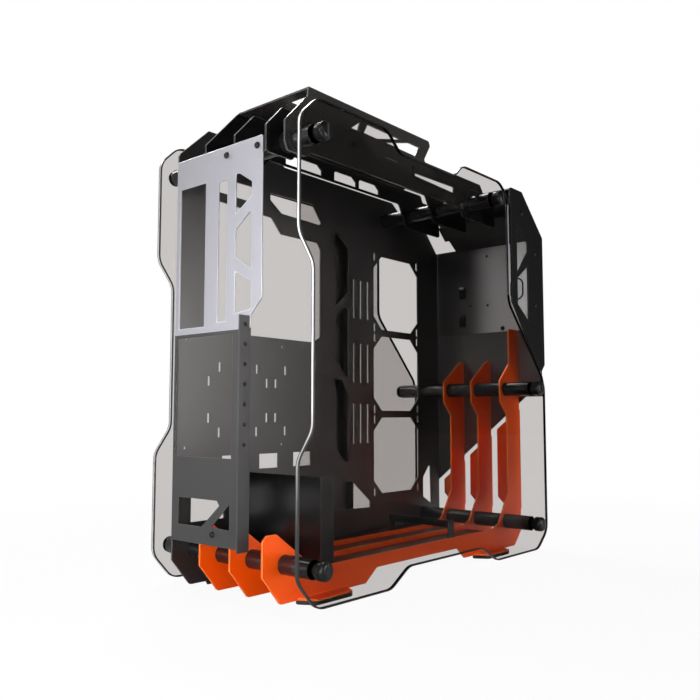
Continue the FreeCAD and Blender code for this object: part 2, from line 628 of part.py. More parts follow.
parts["port_board"] = slope_box(power_x - 12.0, jack_xs[1] + 8.0, port_line - 14.0, port_line + 12.0,
                                board_h - board_t, board_h)
post_xs = [cover_x0 + 55.5, cover_x0 + 80.5, cover_x0 + 123.5]
posts = [slope_hex(x, port_line - 10.0, board_h, -sheet_t, 6.0) for x in post_xs]
parts["board_posts"] = Part.makeCompound(posts)
shells = []
for x in usb_xs:
    shell = slope_box(x - usb_w / 2.0, x + usb_w / 2.0, port_line - usb_h / 2.0, port_line + usb_h / 2.0,
                      board_h, 0.0)
    mouth = slope_box(x - usb_w / 2.0 + 0.6, x + usb_w / 2.0 - 0.6, port_line - usb_h / 2.0 + 0.6,
                      port_line + usb_h / 2.0 - 0.6, -10.0, 1.0)
    tongue = slope_box(x - 5.6, x + 5.6, port_line + 0.4, port_line + 2.4, -11.0, -1.0)
    shells.append(shell.cut(mouth).fuse(tongue).removeSplitter())
parts["usb_ports"] = Part.makeCompound(shells)
usbc = slope_box(usbc_x - usbc_w / 2.0, usbc_x + usbc_w / 2.0, port_line - usbc_h / 2.0,
                 port_line + usbc_h / 2.0, board_h, 0.0)
usbc_mouth = slope_box(usbc_x - usbc_w / 2.0 + 0.5, usbc_x + usbc_w / 2.0 - 0.5,
                       port_line - usbc_h / 2.0 + 0.5, port_line + usbc_h / 2.0 - 0.5, -8.0, 1.0)
usbc_tongue = slope_box(usbc_x - 3.2, usbc_x + 3.2, port_line - 0.4, port_line + 0.4, -9.0, -1.0)
parts["usb_c_port"] = usbc.cut(usbc_mouth).fuse(usbc_tongue).removeSplitter()
jacks = [slope_pin(x, port_line, board_h, 0.0, jack_d).cut(slope_pin(x, port_line, -10.0, 1.0, 3.6))
         for x in jack_xs]
parts["audio_jacks"] = Part.makeCompound(jacks)

# Push buttons: cap, retaining flange behind the cover and a stem over its switch
lip_gap = 0.4
switch_h = 4.0


def button(x, diameter):
    cap = slope_pin(x, port_line, -sheet_t - lip_gap - 1.5, 2.0, diameter)
    lip = slope_pin(x, port_line, -sheet_t - lip_gap - 1.5, -sheet_t - lip_gap, diameter + 4.0)
    stem_end = board_h + switch_h + button_travel + lip_gap
    stem = slope_pin(x, port_line, stem_end, -sheet_t - lip_gap - 1.0, 4.0)
    return cap.fuse([lip, stem]).removeSplitter()


parts["power_button"] = button(power_x, power_d)
parts["reset_button"] = button(reset_x, reset_d)
switches = [slope_box(x - 3.0, x + 3.0, port_line - 3.0, port_line + 3.0, board_h, board_h + switch_h)
            for x in (power_x, reset_x)]
parts["switches"] = Part.makeCompound(switches)

# Port side plate: fills the cut-away corner of the open-side pane with a truss plate
side_x0 = -pane_half - sheet_t
side_rear = front_y + 89.0
side_points = [
    (side_rear, top_rail_z), (slope_y, top_rail_z), (cover_y, bend_z), (cover_y, 262.0),
    (cover_y + 11.0, 251.0), (side_rear, 346.0),
]
side_cut_y = (front_y + 42.0, front_y + 73.0)
side_cuts = [
    [(side_cut_y[1], glass_height - 54.0), (side_cut_y[0], glass_height - 76.0),
     (side_cut_y[0], glass_height - 89.0), (side_cut_y[1], glass_height - 124.0)],
    [(side_cut_y[0], glass_height - 110.0), (side_cut_y[1], glass_height - 131.0),
     (side_cut_y[1], glass_height - 168.0), (side_cut_y[0], glass_height - 190.0)],
]
plate_side = sheet("x", side_points, side_x0, sheet_t, 2.0)
plate_side = open_up(plate_side, "x", side_cuts, side_x0, sheet_t, 0.0)
parts["port_side"] = plate_side
flange_points = [
    (cover_y, panel_top_z + 0.5), (cover_y, bend_z), (slope_y, top_rail_z), (top_y, top_rail_z),
    (top_y, top_rail_z - 22.0), (slope_y + 4.0, top_rail_z - 24.0), (front_y + 27.0, bend_z - 8.0),
    (front_y + 27.0, panel_top_z + 0.5),
]
cover_flange = sheet("x", flange_points, cover_x0, sheet_t, 0.0)
parts["port_cover"] = parts["port_cover"].fuse(cover_flange).removeSplitter()

# Move everything so that the origin is the middle of the underside
whole = Part.makeCompound(list(parts.values()))
bounds = whole.BoundBox
shift = FreeCAD.Vector(-bounds.Center.x, -bounds.Center.y, -bounds.ZMin)
for name, shape in parts.items():
    moved = shape.copy()
    moved.translate(shift)
    moved.exportStep(os.path.join("parts", name + ".step"))
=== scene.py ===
import bpy
import numpy as np
from mathutils import Matrix, Vector


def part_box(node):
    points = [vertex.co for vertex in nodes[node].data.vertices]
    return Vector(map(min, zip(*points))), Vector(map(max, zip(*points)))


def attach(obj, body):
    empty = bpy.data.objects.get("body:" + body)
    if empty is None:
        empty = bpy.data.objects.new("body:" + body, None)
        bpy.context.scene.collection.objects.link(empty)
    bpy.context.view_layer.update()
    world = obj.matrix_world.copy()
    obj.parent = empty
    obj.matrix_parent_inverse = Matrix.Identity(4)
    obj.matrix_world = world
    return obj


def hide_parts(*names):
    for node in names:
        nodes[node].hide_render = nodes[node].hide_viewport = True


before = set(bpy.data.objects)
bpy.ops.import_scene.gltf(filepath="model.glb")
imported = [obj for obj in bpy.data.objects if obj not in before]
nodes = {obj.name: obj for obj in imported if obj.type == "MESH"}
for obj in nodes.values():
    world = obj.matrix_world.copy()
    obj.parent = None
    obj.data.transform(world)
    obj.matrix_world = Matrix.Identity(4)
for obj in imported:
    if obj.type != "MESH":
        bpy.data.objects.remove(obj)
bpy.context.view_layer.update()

# Lower blades: three sheet-steel blades stand side by side on the low cross rods, each folded
# into a flange at the front. They are laser cut and powder coated in satin orange, and a paler
# yellow-orange painted highlight runs along the cut edges.
ORANGE_FACE = (0.95, 0.092, 0.001, 1.0)
ORANGE_EDGE_HIGHLIGHT = (1.0, 0.48, 0.09, 1.0)
EDGE_RADIUS = 0.0007
EDGE_SAMPLES = 6
GRAIN_DETAIL = 3.0
GRAIN_HEIGHT = 0.0002
CLOUD_SCALE = 28.0
CLOUD_DETAIL = 4.0
BLADES = ("fin_left", "fin_middle", "fin_right")


def new_group(name, inputs, outputs):
    """Empty shader node group; inputs map a socket's name to (type, default), outputs to its type."""
    group = bpy.data.node_groups.new(name, "ShaderNodeTree")
    for label, (kind, value) in inputs.items():
        socket = group.interface.new_socket(label, in_out="INPUT", socket_type=kind)
        if value is not None:
            socket.default_value = value
    for label, kind in outputs.items():
        group.interface.new_socket(label, in_out="OUTPUT", socket_type=kind)
    return group, group.nodes.new("NodeGroupInput"), group.nodes.new("NodeGroupOutput")


# powder grain: fine noise as a bump height, and slow noise that moves the roughness a little
coat_grain, grain_in, grain_out = new_group(
    "coat_grain",
    {"Grain Scale": ("NodeSocketFloat", 900.0), "Roughness": ("NodeSocketFloat", 0.4),
     "Spread": ("NodeSocketFloat", 0.08)},
    {"Height": "NodeSocketFloat", "Roughness": "NodeSocketFloat"})
tree, link = coat_grain.nodes, coat_grain.links.new
place = tree.new("ShaderNodeTexCoord")
fine = tree.new("ShaderNodeTexNoise")
fine.inputs["Detail"].default_value = GRAIN_DETAIL
slow = tree.new("ShaderNodeTexNoise")
slow.inputs["Scale"].default_value = CLOUD_SCALE
slow.inputs["Detail"].default_value = CLOUD_DETAIL
offset = tree.new("ShaderNodeMath")
offset.operation = "SUBTRACT"
offset.inputs[1].default_value = 0.5
swing = tree.new("ShaderNodeMath")
swing.operation = "MULTIPLY_ADD"
link(place.outputs["Object"], fine.inputs["Vector"])
link(place.outputs["Object"], slow.inputs["Vector"])
link(grain_in.outputs["Grain Scale"], fine.inputs["Scale"])
link(slow.outputs["Fac"], offset.inputs[0])
link(offset.outputs[0], swing.inputs[0])
link(grain_in.outputs["Spread"], swing.inputs[1])
link(grain_in.outputs["Roughness"], swing.inputs[2])
link(fine.outputs["Fac"], grain_out.inputs["Height"])
link(swing.outputs[0], grain_out.inputs["Roughness"])

# soft edge: the normal is rounded off near an edge, and the mask is how far it was turned there
soft_edge, edge_in, edge_out = new_group(
    "soft_edge", {"Radius": ("NodeSocketFloat", EDGE_RADIUS), "Gain": ("NodeSocketFloat", 4.0)},
    {"Normal": "NodeSocketVector", "Mask": "NodeSocketFloat"})
tree, link = soft_edge.nodes, soft_edge.links.new
bevel = tree.new("ShaderNodeBevel")
bevel.samples = EDGE_SAMPLES
facing = tree.new("ShaderNodeNewGeometry")
agree = tree.new("ShaderNodeVectorMath")
agree.operation = "DOT_PRODUCT"
bent = tree.new("ShaderNodeMath")
bent.operation = "SUBTRACT"
bent.inputs[0].default_value = 1.0
gained = tree.new("ShaderNodeMath")
gained.operation = "MULTIPLY"
gained.use_clamp = True
link(edge_in.outputs["Radius"], bevel.inputs["Radius"])
link(bevel.outputs["Normal"], agree.inputs[0])
link(facing.outputs["True Normal"], agree.inputs[1])
link(agree.outputs["Value"], bent.inputs[1])
link(bent.outputs[0], gained.inputs[0])
link(edge_in.outputs["Gain"], gained.inputs[1])
link(bevel.outputs["Normal"], edge_out.inputs["Normal"])
link(gained.outputs[0], edge_out.inputs["Mask"])


def coated(name, face, edge, roughness, spread, grain, depth, metallic=0.0, radius=EDGE_RADIUS,
           gloss=0.5):
    """Coated or finished metal: face colour going to edge colour, a painted edge highlight, on the soft
    edge mask, or face alone where edge is None, roughness from the grain group, and its fine height as a
    bump on the rounded normal."""
    material = bpy.data.materials.new(name)
    material.use_nodes = True
    tree, link = material.node_tree.nodes, material.node_tree.links.new
    shader = tree["Principled BSDF"]
    shader.inputs["Metallic"].default_value = metallic
    shader.inputs["Specular IOR Level"].default_value = gloss
    coat = tree.new("ShaderNodeGroup")
    coat.node_tree = coat_grain
    coat.inputs["Grain Scale"].default_value = grain
    coat.inputs["Roughness"].default_value = roughness
    coat.inputs["Spread"].default_value = spread
    rim = tree.new("ShaderNodeGroup")
    rim.node_tree = soft_edge
    rim.inputs["Radius"].default_value = radius
    if edge is None:
        shader.inputs["Base Color"].default_value = face
    else:
        blend = tree.new("ShaderNodeMix")
        blend.data_type = "RGBA"
        blend.inputs[6].default_value = face
        blend.inputs[7].default_value = edge
        link(rim.outputs["Mask"], blend.inputs[0])
        link(blend.outputs[2], shader.inputs["Base Color"])
    bump = tree.new("ShaderNodeBump")
    bump.inputs["Strength"].default_value = depth
    bump.inputs["Distance"].default_value = GRAIN_HEIGHT
    link(coat.outputs["Roughness"], shader.inputs["Roughness"])
    link(coat.outputs["Height"], bump.inputs["Height"])
    link(rim.outputs["Normal"], bump.inputs["Normal"])
    link(bump.outputs["Normal"], shader.inputs["Normal"])
    return material


def dress(material, *names):
    """Puts one material in every slot of the named CAD nodes."""
    for name in names:
        slots = nodes[name].data.materials
        slots.clear()
        slots.append(material)


orange_coat = coated("orange_coat", ORANGE_FACE, ORANGE_EDGE_HIGHLIGHT, roughness=0.32, spread=0.08, grain=1100.0,
                     depth=0.15, metallic=0.30, radius=0.0012, gloss=0.4)
dress(orange_coat, *BLADES)

# Tray, floor strips and cable channel: one black sheet wall carries the board, the fans and the
# cable openings, and shallow black strips close the bays between the blades. All are steel
# with a satin black powder coat.
BLACK_FACE = (0.016, 0.0145, 0.014, 1.0)
# the paler edge colour is a painted highlight along the cut edges
BLACK_EDGE_HIGHLIGHT = (0.07, 0.066, 0.064, 1.0)
black_coat = coated("black_coat", BLACK_FACE, BLACK_EDGE_HIGHLIGHT, roughness=0.34, spread=0.08, grain=1200.0,
                    depth=0.15, gloss=0.8)
dress(black_coat, "tray", "cable_channel", "floor_left", "floor_middle", "floor_right")

# Upper blades and handle sheet: slim black blades tie the top rods together, and the handle
# sheet rolls over them with its grip openings. The blades take a smoother black than the tray, made
# darker as painted shade, the handle sheet a black made a little paler as painted light, and both a
# pale painted highlight along their edges.
DEEP_SHADED_FACE = (0.0035, 0.0033, 0.0033, 1.0)
DEEP_EDGE_HIGHLIGHT = (0.22, 0.215, 0.21, 1.0)
RAIL_LIT_FACE = (0.024, 0.0215, 0.0205, 1.0)
deep_coat = coated("deep_coat", DEEP_SHADED_FACE, DEEP_EDGE_HIGHLIGHT, roughness=0.24, spread=0.06, grain=1200.0,
                   depth=0.08, gloss=0.5)
dress(deep_coat, "upper_fin_left", "upper_fin_middle", "upper_fin_right")
rail_coat = coated("rail_coat", RAIL_LIT_FACE, DEEP_EDGE_HIGHLIGHT, roughness=0.24, spread=0.05, grain=1200.0,
                   depth=0.06, gloss=0.7)
dress(rail_coat, "handle_rail")

# Rear bracket and rear plate: the bracket round the board ports is bare satin silver, and the
# card frame under it is coated in dark grey. Both are thin pressed sheet, screwed to the blades.
# the paler edge colours of the bracket and the plate are painted highlights along the edges
SILVER_FACE = (0.335, 0.333, 0.363, 1.0)
SILVER_EDGE_HIGHLIGHT = (0.88, 0.88, 0.90, 1.0)
GREY_FACE = (0.030, 0.029, 0.030, 1.0)
GREY_EDGE_HIGHLIGHT = (0.10, 0.10, 0.10, 1.0)
silver_satin = coated("silver_satin", SILVER_FACE, SILVER_EDGE_HIGHLIGHT, roughness=0.42, spread=0.06, grain=1500.0,
                      depth=0.10, metallic=0.75)
dark_coat = coated("dark_coat", GREY_FACE, GREY_EDGE_HIGHLIGHT, roughness=0.40, spread=0.10, grain=1200.0,
                   depth=0.20, gloss=0.35)
dress(silver_satin, "rear_bracket")
dress(dark_coat, "rear_plate")

# Button-head screws of the rear: black steel with a hexagon socket. Two hold the bracket to the
# folded tabs of the upper blades, and one holds the plate to the middle lower blade.
SCREW_FACE = (0.004, 0.004, 0.004, 1.0)
# the edge colour is a faint painted highlight along the edges
SCREW_EDGE_HIGHLIGHT = (0.02, 0.02, 0.02, 1.0)
REAR_SCREW_R = 0.0036
BRACKET_SCREW_IN = 0.0115
BRACKET_SCREW_DOWN = 0.0097
PLATE_SCREW_IN = 0.0098
PLATE_SCREW_UP = 0.0150
REARWARD = (0.0, 1.0, 0.0)
FAR_SIDE = (1.0, 0.0, 0.0)
SCREW_TURNS = 48
HEAD_SHAPE = ((0.05, 1.0, 0.10), (0.40, 1.0, 0.10), (0.42, 1.0, 0.50), (0.48, 0.5, 0.56),
              (0.62, 0.0, 0.55), (0.80, 0.0, 0.47), (0.93, 0.0, 0.34), (1.0, 0.0, 0.15), (1.0, 0.0, 0.0))
screw_black = coated("screw_black", SCREW_FACE, SCREW_EDGE_HIGHLIGHT, roughness=0.32, spread=0.05, grain=2500.0,
                     depth=0.05, radius=0.0003, gloss=0.2)


def put_mesh(name, points, faces, materials, body, which=None):
    """One object from an array of points and a list of faces, riding on a body; which picks each
    face's material."""
    mesh = bpy.data.meshes.new(name)
    mesh.from_pydata(points.tolist(), [], faces)
    mesh.polygons.foreach_set("use_smooth", np.ones(len(mesh.polygons), dtype=bool))
    for material in materials:
        mesh.materials.append(material)
    if which is not None:
        mesh.polygons.foreach_set("material_index", which)
    piece = bpy.data.objects.new(name, mesh)
    bpy.context.scene.collection.objects.link(piece)
    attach(piece, body)
    return piece


def grid_quads(rows, columns, closed):
    """Quads of a grid of points, row by row; closed joins the last column to the first."""
    row = np.arange(rows - 1)[:, None] * columns
    here = np.arange(columns if closed else columns - 1)[None]
    there = (here + 1) % columns
    corners = [row + here, row + there, row + columns + there, row + columns + here]
    return np.stack(corners, axis=2).reshape(-1, 4)


def button_heads(name, seats, out, side, radius, shape=HEAD_SHAPE):
    """Screw heads on the seats: ring k has radius q_k times 1 in the dome and times 1 / cos(angle to
    the nearest flat) in the socket, at height h_k, so the hexagon runs out into the round dome. The
    shape lists (q, how far it is hexagonal, h) from the socket's floor outwards, and a flat face
    closes the first ring and the last."""
    q, hexed, h = np.array(shape).T
    turn = np.linspace(0.0, 2.0 * np.pi, SCREW_TURNS, endpoint=False)
    flat = 1.0 / np.cos((turn + np.pi / 6.0) % (np.pi / 3.0) - np.pi / 6.0)
    ring = q[:, None] * (1.0 + hexed[:, None] * (flat[None] - 1.0))
    out, side = np.array(out), np.array(side)
    third = np.cross(out, side)
    one = (ring * np.cos(turn))[:, :, None] * side + (ring * np.sin(turn))[:, :, None] * third + \
        np.broadcast_to(h[:, None], ring.shape)[:, :, None] * out
    one = one.reshape(-1, 3) * radius
    points = np.asarray(seats)[:, None, :] + one[None]
    start = np.arange(len(seats))[:, None, None] * len(one)
    quads = grid_quads(len(q), SCREW_TURNS, True)[None, :, ::-1] + start
    ring_spots = np.arange(SCREW_TURNS)[None, None]
    ends = np.concatenate([ring_spots + start, len(one) - 1 - ring_spots + start]).reshape(-1, SCREW_TURNS)
    faces = quads.reshape(-1, 4).tolist() + ends.tolist()
    return put_mesh(name, points.reshape(-1, 3), faces, [screw_black], "case")


bracket_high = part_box("rear_bracket")[1]
screw_x = [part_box(name)[0][0] + BRACKET_SCREW_IN for name in ("upper_fin_left", "upper_fin_middle")]
seats = [(x, bracket_high[1], bracket_high[2] - BRACKET_SCREW_DOWN) for x in screw_x]
plate_low, plate_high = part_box("rear_plate")
seats.append((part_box("fin_middle")[0][0] + PLATE_SCREW_IN, plate_high[1], plate_low[2] + PLATE_SCREW_UP))
button_heads("rear_screws", seats, REARWARD, FAR_SIDE, REAR_SCREW_R)

# Thread inserts of the screw rail: small black bushes pressed into the folded rail beside the card
# frame, one for each card, with an open thread in the middle.
INSERT_SHAPE = ((0.05, 0.0, -0.45), (0.58, 0.0, -0.45), (0.60, 0.0, 0.0), (0.68, 0.0, 0.08),
                (0.90, 0.0, 0.08), (1.0, 0.0, 0.0), (0.66, 0.0, 0.0), (0.66, 0.0, -0.5))
INSERT_R = 0.0025
INSERT_Y = 0.26025
INSERT_LOW = 0.1635
CARD_PITCH = 0.02032
CARDS = 7
OPEN_SIDE = (-1.0, 0.0, 0.0)
insert_seats = [(plate_low[0], INSERT_Y, z) for z in INSERT_LOW + CARD_PITCH * np.arange(CARDS)]
button_heads("card_inserts", insert_seats, OPEN_SIDE, REARWARD, INSERT_R, INSERT_SHAPE)

# Handle screws: two black steel button heads with hexagon sockets hold the handle sheet to the
# left upper blade.
RAIL_SEATS = ((0.13175, 0.4980), (0.01875, 0.4980))
SIDE_SCREW_R = 0.0034
rail_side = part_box("handle_rail")[0][0]
rail_seats = [(rail_side, y, z) for y, z in RAIL_SEATS]
button_heads("handle_screws", rail_seats, OPEN_SIDE, REARWARD, SIDE_SCREW_R)

# Supply bracket and stop: a plate across the blades takes the power supply, and a strap keeps
# its far end in place. Both are folded black sheet.
# they take the upper blades' darker black, which is painted shade
dress(deep_coat, "supply_bracket", "supply_stop")

# Front panel, port cover and port side plate: folded black sheet closes the upper front, and the
# truss plate fills the corner that is cut from the open-side pane. The inner face of the cover has a
# painted reflection, a pale patch towards the open side.
COVER_DARK = (0.010, 0.0095, 0.009, 1.0)
COVER_PAINTED_REFLECTION = (0.42, 0.42, 0.427, 1.0)
PATCH_FROM = 0.027
PATCH_TO = -0.040
INNER_FACING = 0.7
cover_coat = coated("cover_coat", COVER_DARK, COVER_PAINTED_REFLECTION, roughness=0.30, spread=0.05, grain=1200.0,
                    depth=0.06, gloss=0.6)
# painted reflection: the pale colour is mixed in across X on the cover's rearward faces, in place of the
# edge mask
tree, link = cover_coat.node_tree.nodes, cover_coat.node_tree.links.new
place = tree.new("ShaderNodeTexCoord")
across = tree.new("ShaderNodeSeparateXYZ")
reflection_ramp = tree.new("ShaderNodeMapRange")
reflection_ramp.interpolation_type = "SMOOTHERSTEP"
reflection_ramp.inputs["From Min"].default_value = PATCH_FROM
reflection_ramp.inputs["From Max"].default_value = PATCH_TO
facing = tree.new("ShaderNodeNewGeometry")
face_way = tree.new("ShaderNodeSeparateXYZ")
inside = tree.new("ShaderNodeMath")
inside.operation = "GREATER_THAN"
inside.inputs[1].default_value = INNER_FACING
painted_reflection_mask = tree.new("ShaderNodeMath")
painted_reflection_mask.operation = "MULTIPLY"
link(place.outputs["Object"], across.inputs[0])
link(across.outputs["X"], reflection_ramp.inputs["Value"])
link(facing.outputs["True Normal"], face_way.inputs[0])
link(face_way.outputs["Y"], inside.inputs[0])
link(reflection_ramp.outputs["Result"], painted_reflection_mask.inputs[0])
link(inside.outputs[0], painted_reflection_mask.inputs[1])
link(painted_reflection_mask.outputs[0], tree["Mix"].inputs[0])
dress(cover_coat, "port_cover")
dress(black_coat, "front_panel")
# the port side plate takes the same darker black, painted shade, in a matt finish
matt_black = coated("matt_black", DEEP_SHADED_FACE, GREY_EDGE_HIGHLIGHT, roughness=0.45, spread=0.06, grain=1200.0,
                    depth=0.10, gloss=0.10)
dress(matt_black, "port_side")

# Fasteners at the port corner: three screws hold the truss plate, and small clinched studs and one
# screw sit on the inner face of the port cover.
SIDE_SEATS = ((-0.2062, 0.4808), (-0.2418, 0.4278), (-0.2417, 0.3516))
STUD_SEATS = ((-0.0147, 0.4411), (-0.0150, 0.3636), (0.0159, 0.3649))
COVER_SEATS = ((-0.0407, 0.3257),)
STUD_R = 0.0019
truss_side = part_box("port_side")[0][0]
cover_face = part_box("front_panel")[0][1]
truss_seats = [(truss_side, y, z) for y, z in SIDE_SEATS]
stud_seats = [(x, cover_face, z) for x, z in STUD_SEATS]
cover_seats = [(x, cover_face, z) for x, z in COVER_SEATS]
button_heads("port_side_screws", truss_seats, OPEN_SIDE, REARWARD, SIDE_SCREW_R)
button_heads("cover_studs", stud_seats, REARWARD, FAR_SIDE, STUD_R)
button_heads("cover_screw", cover_seats, REARWARD, FAR_SIDE, SIDE_SCREW_R)

# Cable bridges: two narrow straps lanced out of the inner face of the port cover, for cable ties.
# They are black sheet like the cover.
BRIDGE_PLACES = ((0.0308, 0.3870), (0.0312, 0.3420))
BRIDGE_HALF = (0.0068, 0.0095)
BRIDGE_HIGH = 0.0022
BRIDGE_SHEET = 0.0012
BRIDGE_STEPS = 25


def cable_bridges():
    """Arched straps: across u the height is BRIDGE_HIGH (1 - u^6), straight along v, less the sheet's
    thickness on the under side, so the rows run once round the strap's section."""
    u, v = np.meshgrid(np.linspace(-1.0, 1.0, BRIDGE_STEPS), np.array([-1.0, -1.0, 1.0, 1.0, -1.0]))
    under = BRIDGE_SHEET * np.array([1.0, 0.0, 0.0, 1.0, 1.0])[:, None]
    y = np.maximum(BRIDGE_HIGH * (1.0 - u ** 6) - under, 0.0) + cover_face
    one = np.stack([BRIDGE_HALF[0] * u, y, BRIDGE_HALF[1] * v], axis=2).reshape(-1, 3)
    places = np.array([(x, 0.0, z) for x, z in BRIDGE_PLACES])
    points = (places[:, None, :] + one[None]).reshape(-1, 3)
    start = np.arange(len(places))[:, None, None] * len(one)
    quads = (grid_quads(len(under), BRIDGE_STEPS, False)[None, :, ::-1] + start).reshape(-1, 4)
    return put_mesh("cable_bridges", points, quads.tolist(), [screw_black], "case")


cable_bridges()

# Cable ring: a moulded rubber bead in an oval, pressed onto the inner face of the port cover beside
# the truss plate.
RING_PLACE = (-0.0670, 0.3840)
RING_R = 0.0100
RING_SIDE = 0.0060
RING_BEAD = 0.0013
RING_STEPS = 72
BEAD_STEPS = 9
RING_FACE = (0.008, 0.008, 0.008, 1.0)
# the edge colour is a faint painted highlight along the bead's edges
RING_EDGE_HIGHLIGHT = (0.02, 0.02, 0.02, 1.0)
ring_black = coated("ring_black", RING_FACE, RING_EDGE_HIGHLIGHT, roughness=0.45, spread=0.05, grain=2200.0,
                    depth=0.1, radius=0.0004, gloss=0.4)


def cable_ring():
    """Half-round bead along an oval: the path is a circle of RING_R whose upper and lower halves are
    moved apart by twice RING_SIDE, and the section is half a circle of RING_BEAD with a flat back."""
    turn = (np.arange(RING_STEPS) + 0.5) / RING_STEPS * 2.0 * np.pi
    bead = np.append(np.linspace(0.0, np.pi, BEAD_STEPS), 0.0)
    across, upward = np.cos(turn), np.sin(turn)
    reach = RING_R + RING_BEAD * np.cos(bead)[:, None]
    x = RING_PLACE[0] + reach * across[None]
    z = RING_PLACE[1] + reach * upward[None] + RING_SIDE * np.sign(upward)[None]
    y = np.broadcast_to(cover_face + RING_BEAD * np.sin(bead)[:, None], x.shape)
    points = np.stack([x, y, z], axis=2).reshape(-1, 3)
    quads = grid_quads(len(bead), len(turn), True)
    return put_mesh("cable_ring", points, quads.tolist(), [ring_black], "case")


cable_ring()

# Ports and buttons: plated shells, moulded jacks, two push buttons and their switches on a small
# board behind the sloped face.
# each edge colour below is a painted highlight along the edges
STEEL_FACE = (0.60, 0.60, 0.61, 1.0)
STEEL_EDGE_HIGHLIGHT = (0.8, 0.8, 0.8, 1.0)
PLASTIC_FACE = (0.020, 0.020, 0.021, 1.0)
PLASTIC_EDGE_HIGHLIGHT = (0.05, 0.05, 0.05, 1.0)
BOARD_FACE = (0.010, 0.013, 0.011, 1.0)
BOARD_EDGE_HIGHLIGHT = (0.03, 0.035, 0.025, 1.0)
port_steel = coated("port_steel", STEEL_FACE, STEEL_EDGE_HIGHLIGHT, roughness=0.28, spread=0.05, grain=1800.0,
                    depth=0.05, metallic=1.0, radius=0.0003)
moulded = coated("moulded_plastic", PLASTIC_FACE, PLASTIC_EDGE_HIGHLIGHT, roughness=0.46, spread=0.06, grain=2200.0,
                 depth=0.25, radius=0.0005)
laminate = coated("board_laminate", BOARD_FACE, BOARD_EDGE_HIGHLIGHT, roughness=0.5, spread=0.1, grain=1500.0,
                  depth=0.15, radius=0.0003)
dress(port_steel, "usb_ports", "usb_c_port", "board_posts")
dress(moulded, "audio_jacks", "power_button", "reset_button", "switches")
dress(laminate, "port_board")

# Cross rods: five turned aluminium bars, anodised satin black, that carry every blade and clamp the
# panes at their ends.
ROD_FACE = (0.010, 0.010, 0.011, 1.0)
# the edge colour is a painted highlight along the edges
ROD_EDGE_HIGHLIGHT = (0.05, 0.05, 0.052, 1.0)
RODS = ("rod_rear_low", "rod_front_low", "rod_front_mid", "rod_front_top", "rod_rear_top")
anodised = coated("black_anodised", ROD_FACE, ROD_EDGE_HIGHLIGHT, roughness=0.25, spread=0.03, grain=2400.0,
                  depth=0.03, radius=0.0009, gloss=0.40)
dress(anodised, *RODS)

# Thumb nuts and caps: turned aluminium, anodised black, screwed onto the rod ends. Each nut has a
# narrow neck at the pane, a round body and a coin slot across its end, and the far caps are low and
# round. Their shapes are in millimetres.
NUT_FACE = (0.004, 0.004, 0.004, 1.0)
# the edge colour is a faint painted highlight along the edges
NUT_EDGE_HIGHLIGHT = (0.012, 0.012, 0.012, 1.0)
MILLIMETRE = 0.001
NUT_TURNS = 64
CAP_TURNS = 48
END_STEPS = 25
WALL_STEPS = 10
NECK = ((0.0, 4.3), (0.0, 7.2), (2.2, 7.2), (2.5, 7.6), (3.2, 8.9), (4.2, 9.6), (5.4, 9.8), (11.4, 9.8),
        (12.4, 9.7), (13.4, 9.3), (13.3, 8.9))
CROWN = ((9.3, 13.4), (8.6, 14.3), (7.6, 15.0), (6.4, 15.4), (5.0, 15.5), (0.0, 15.5))
SLOT_HALF = 1.1
SLOT_LEAN = 0.05
SLOT_FLOOR = 13.4
CAP_SHAPE = ((0.0, 4.3), (0.0, 9.0), (2.0, 9.0), (2.8, 8.7), (3.3, 8.0), (3.5, 7.0), (3.5, 0.4))
nut_black = coated("nut_black", NUT_FACE, NUT_EDGE_HIGHLIGHT, roughness=0.26, spread=0.04, grain=2400.0,
                   depth=0.05, radius=0.0006, gloss=0.22)
dress(nut_black, "thumb_nuts", "cap_nuts")
rod_spots = np.array([np.mean(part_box(name), axis=0)[1:] for name in RODS])
pane_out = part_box("left_glass")[0][0]
pane_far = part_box("right_glass")[1][0]


def turned(shape, turns, face, sign):
    """Lathe: each (distance, radius) of the shape is swept round every rod's axis, standing off a
    face in the direction sign along X, and a flat face closes the first ring and the last."""
    shape = np.array(shape) * MILLIMETRE
    turn = np.linspace(0.0, 2.0 * np.pi, turns, endpoint=False)
    x = np.broadcast_to(face + sign * shape[:, 0, None], (len(shape), turns))
    one = np.stack([x, shape[:, 1, None] * np.cos(turn), shape[:, 1, None] * np.sin(turn)], axis=2)
    centre = np.concatenate([np.zeros((len(rod_spots), 1)), rod_spots], axis=1)
    points = centre[:, None, :] + one.reshape(-1, 3)[None]
    quads = grid_quads(len(shape), turns, True)
    ends = np.stack([np.arange(turns)[::-1], (len(shape) - 1) * turns + np.arange(turns)])
    start = np.arange(len(rod_spots))[:, None, None] * (len(shape) * turns)
    way = 1 if sign > 0 else -1
    quads = (quads[None, :, ::way] + start).reshape(-1, 4)
    ends = (ends[None, :, ::way] + start).reshape(-1, turns)
    return points.reshape(-1, 3), quads.tolist() + ends.tolist()


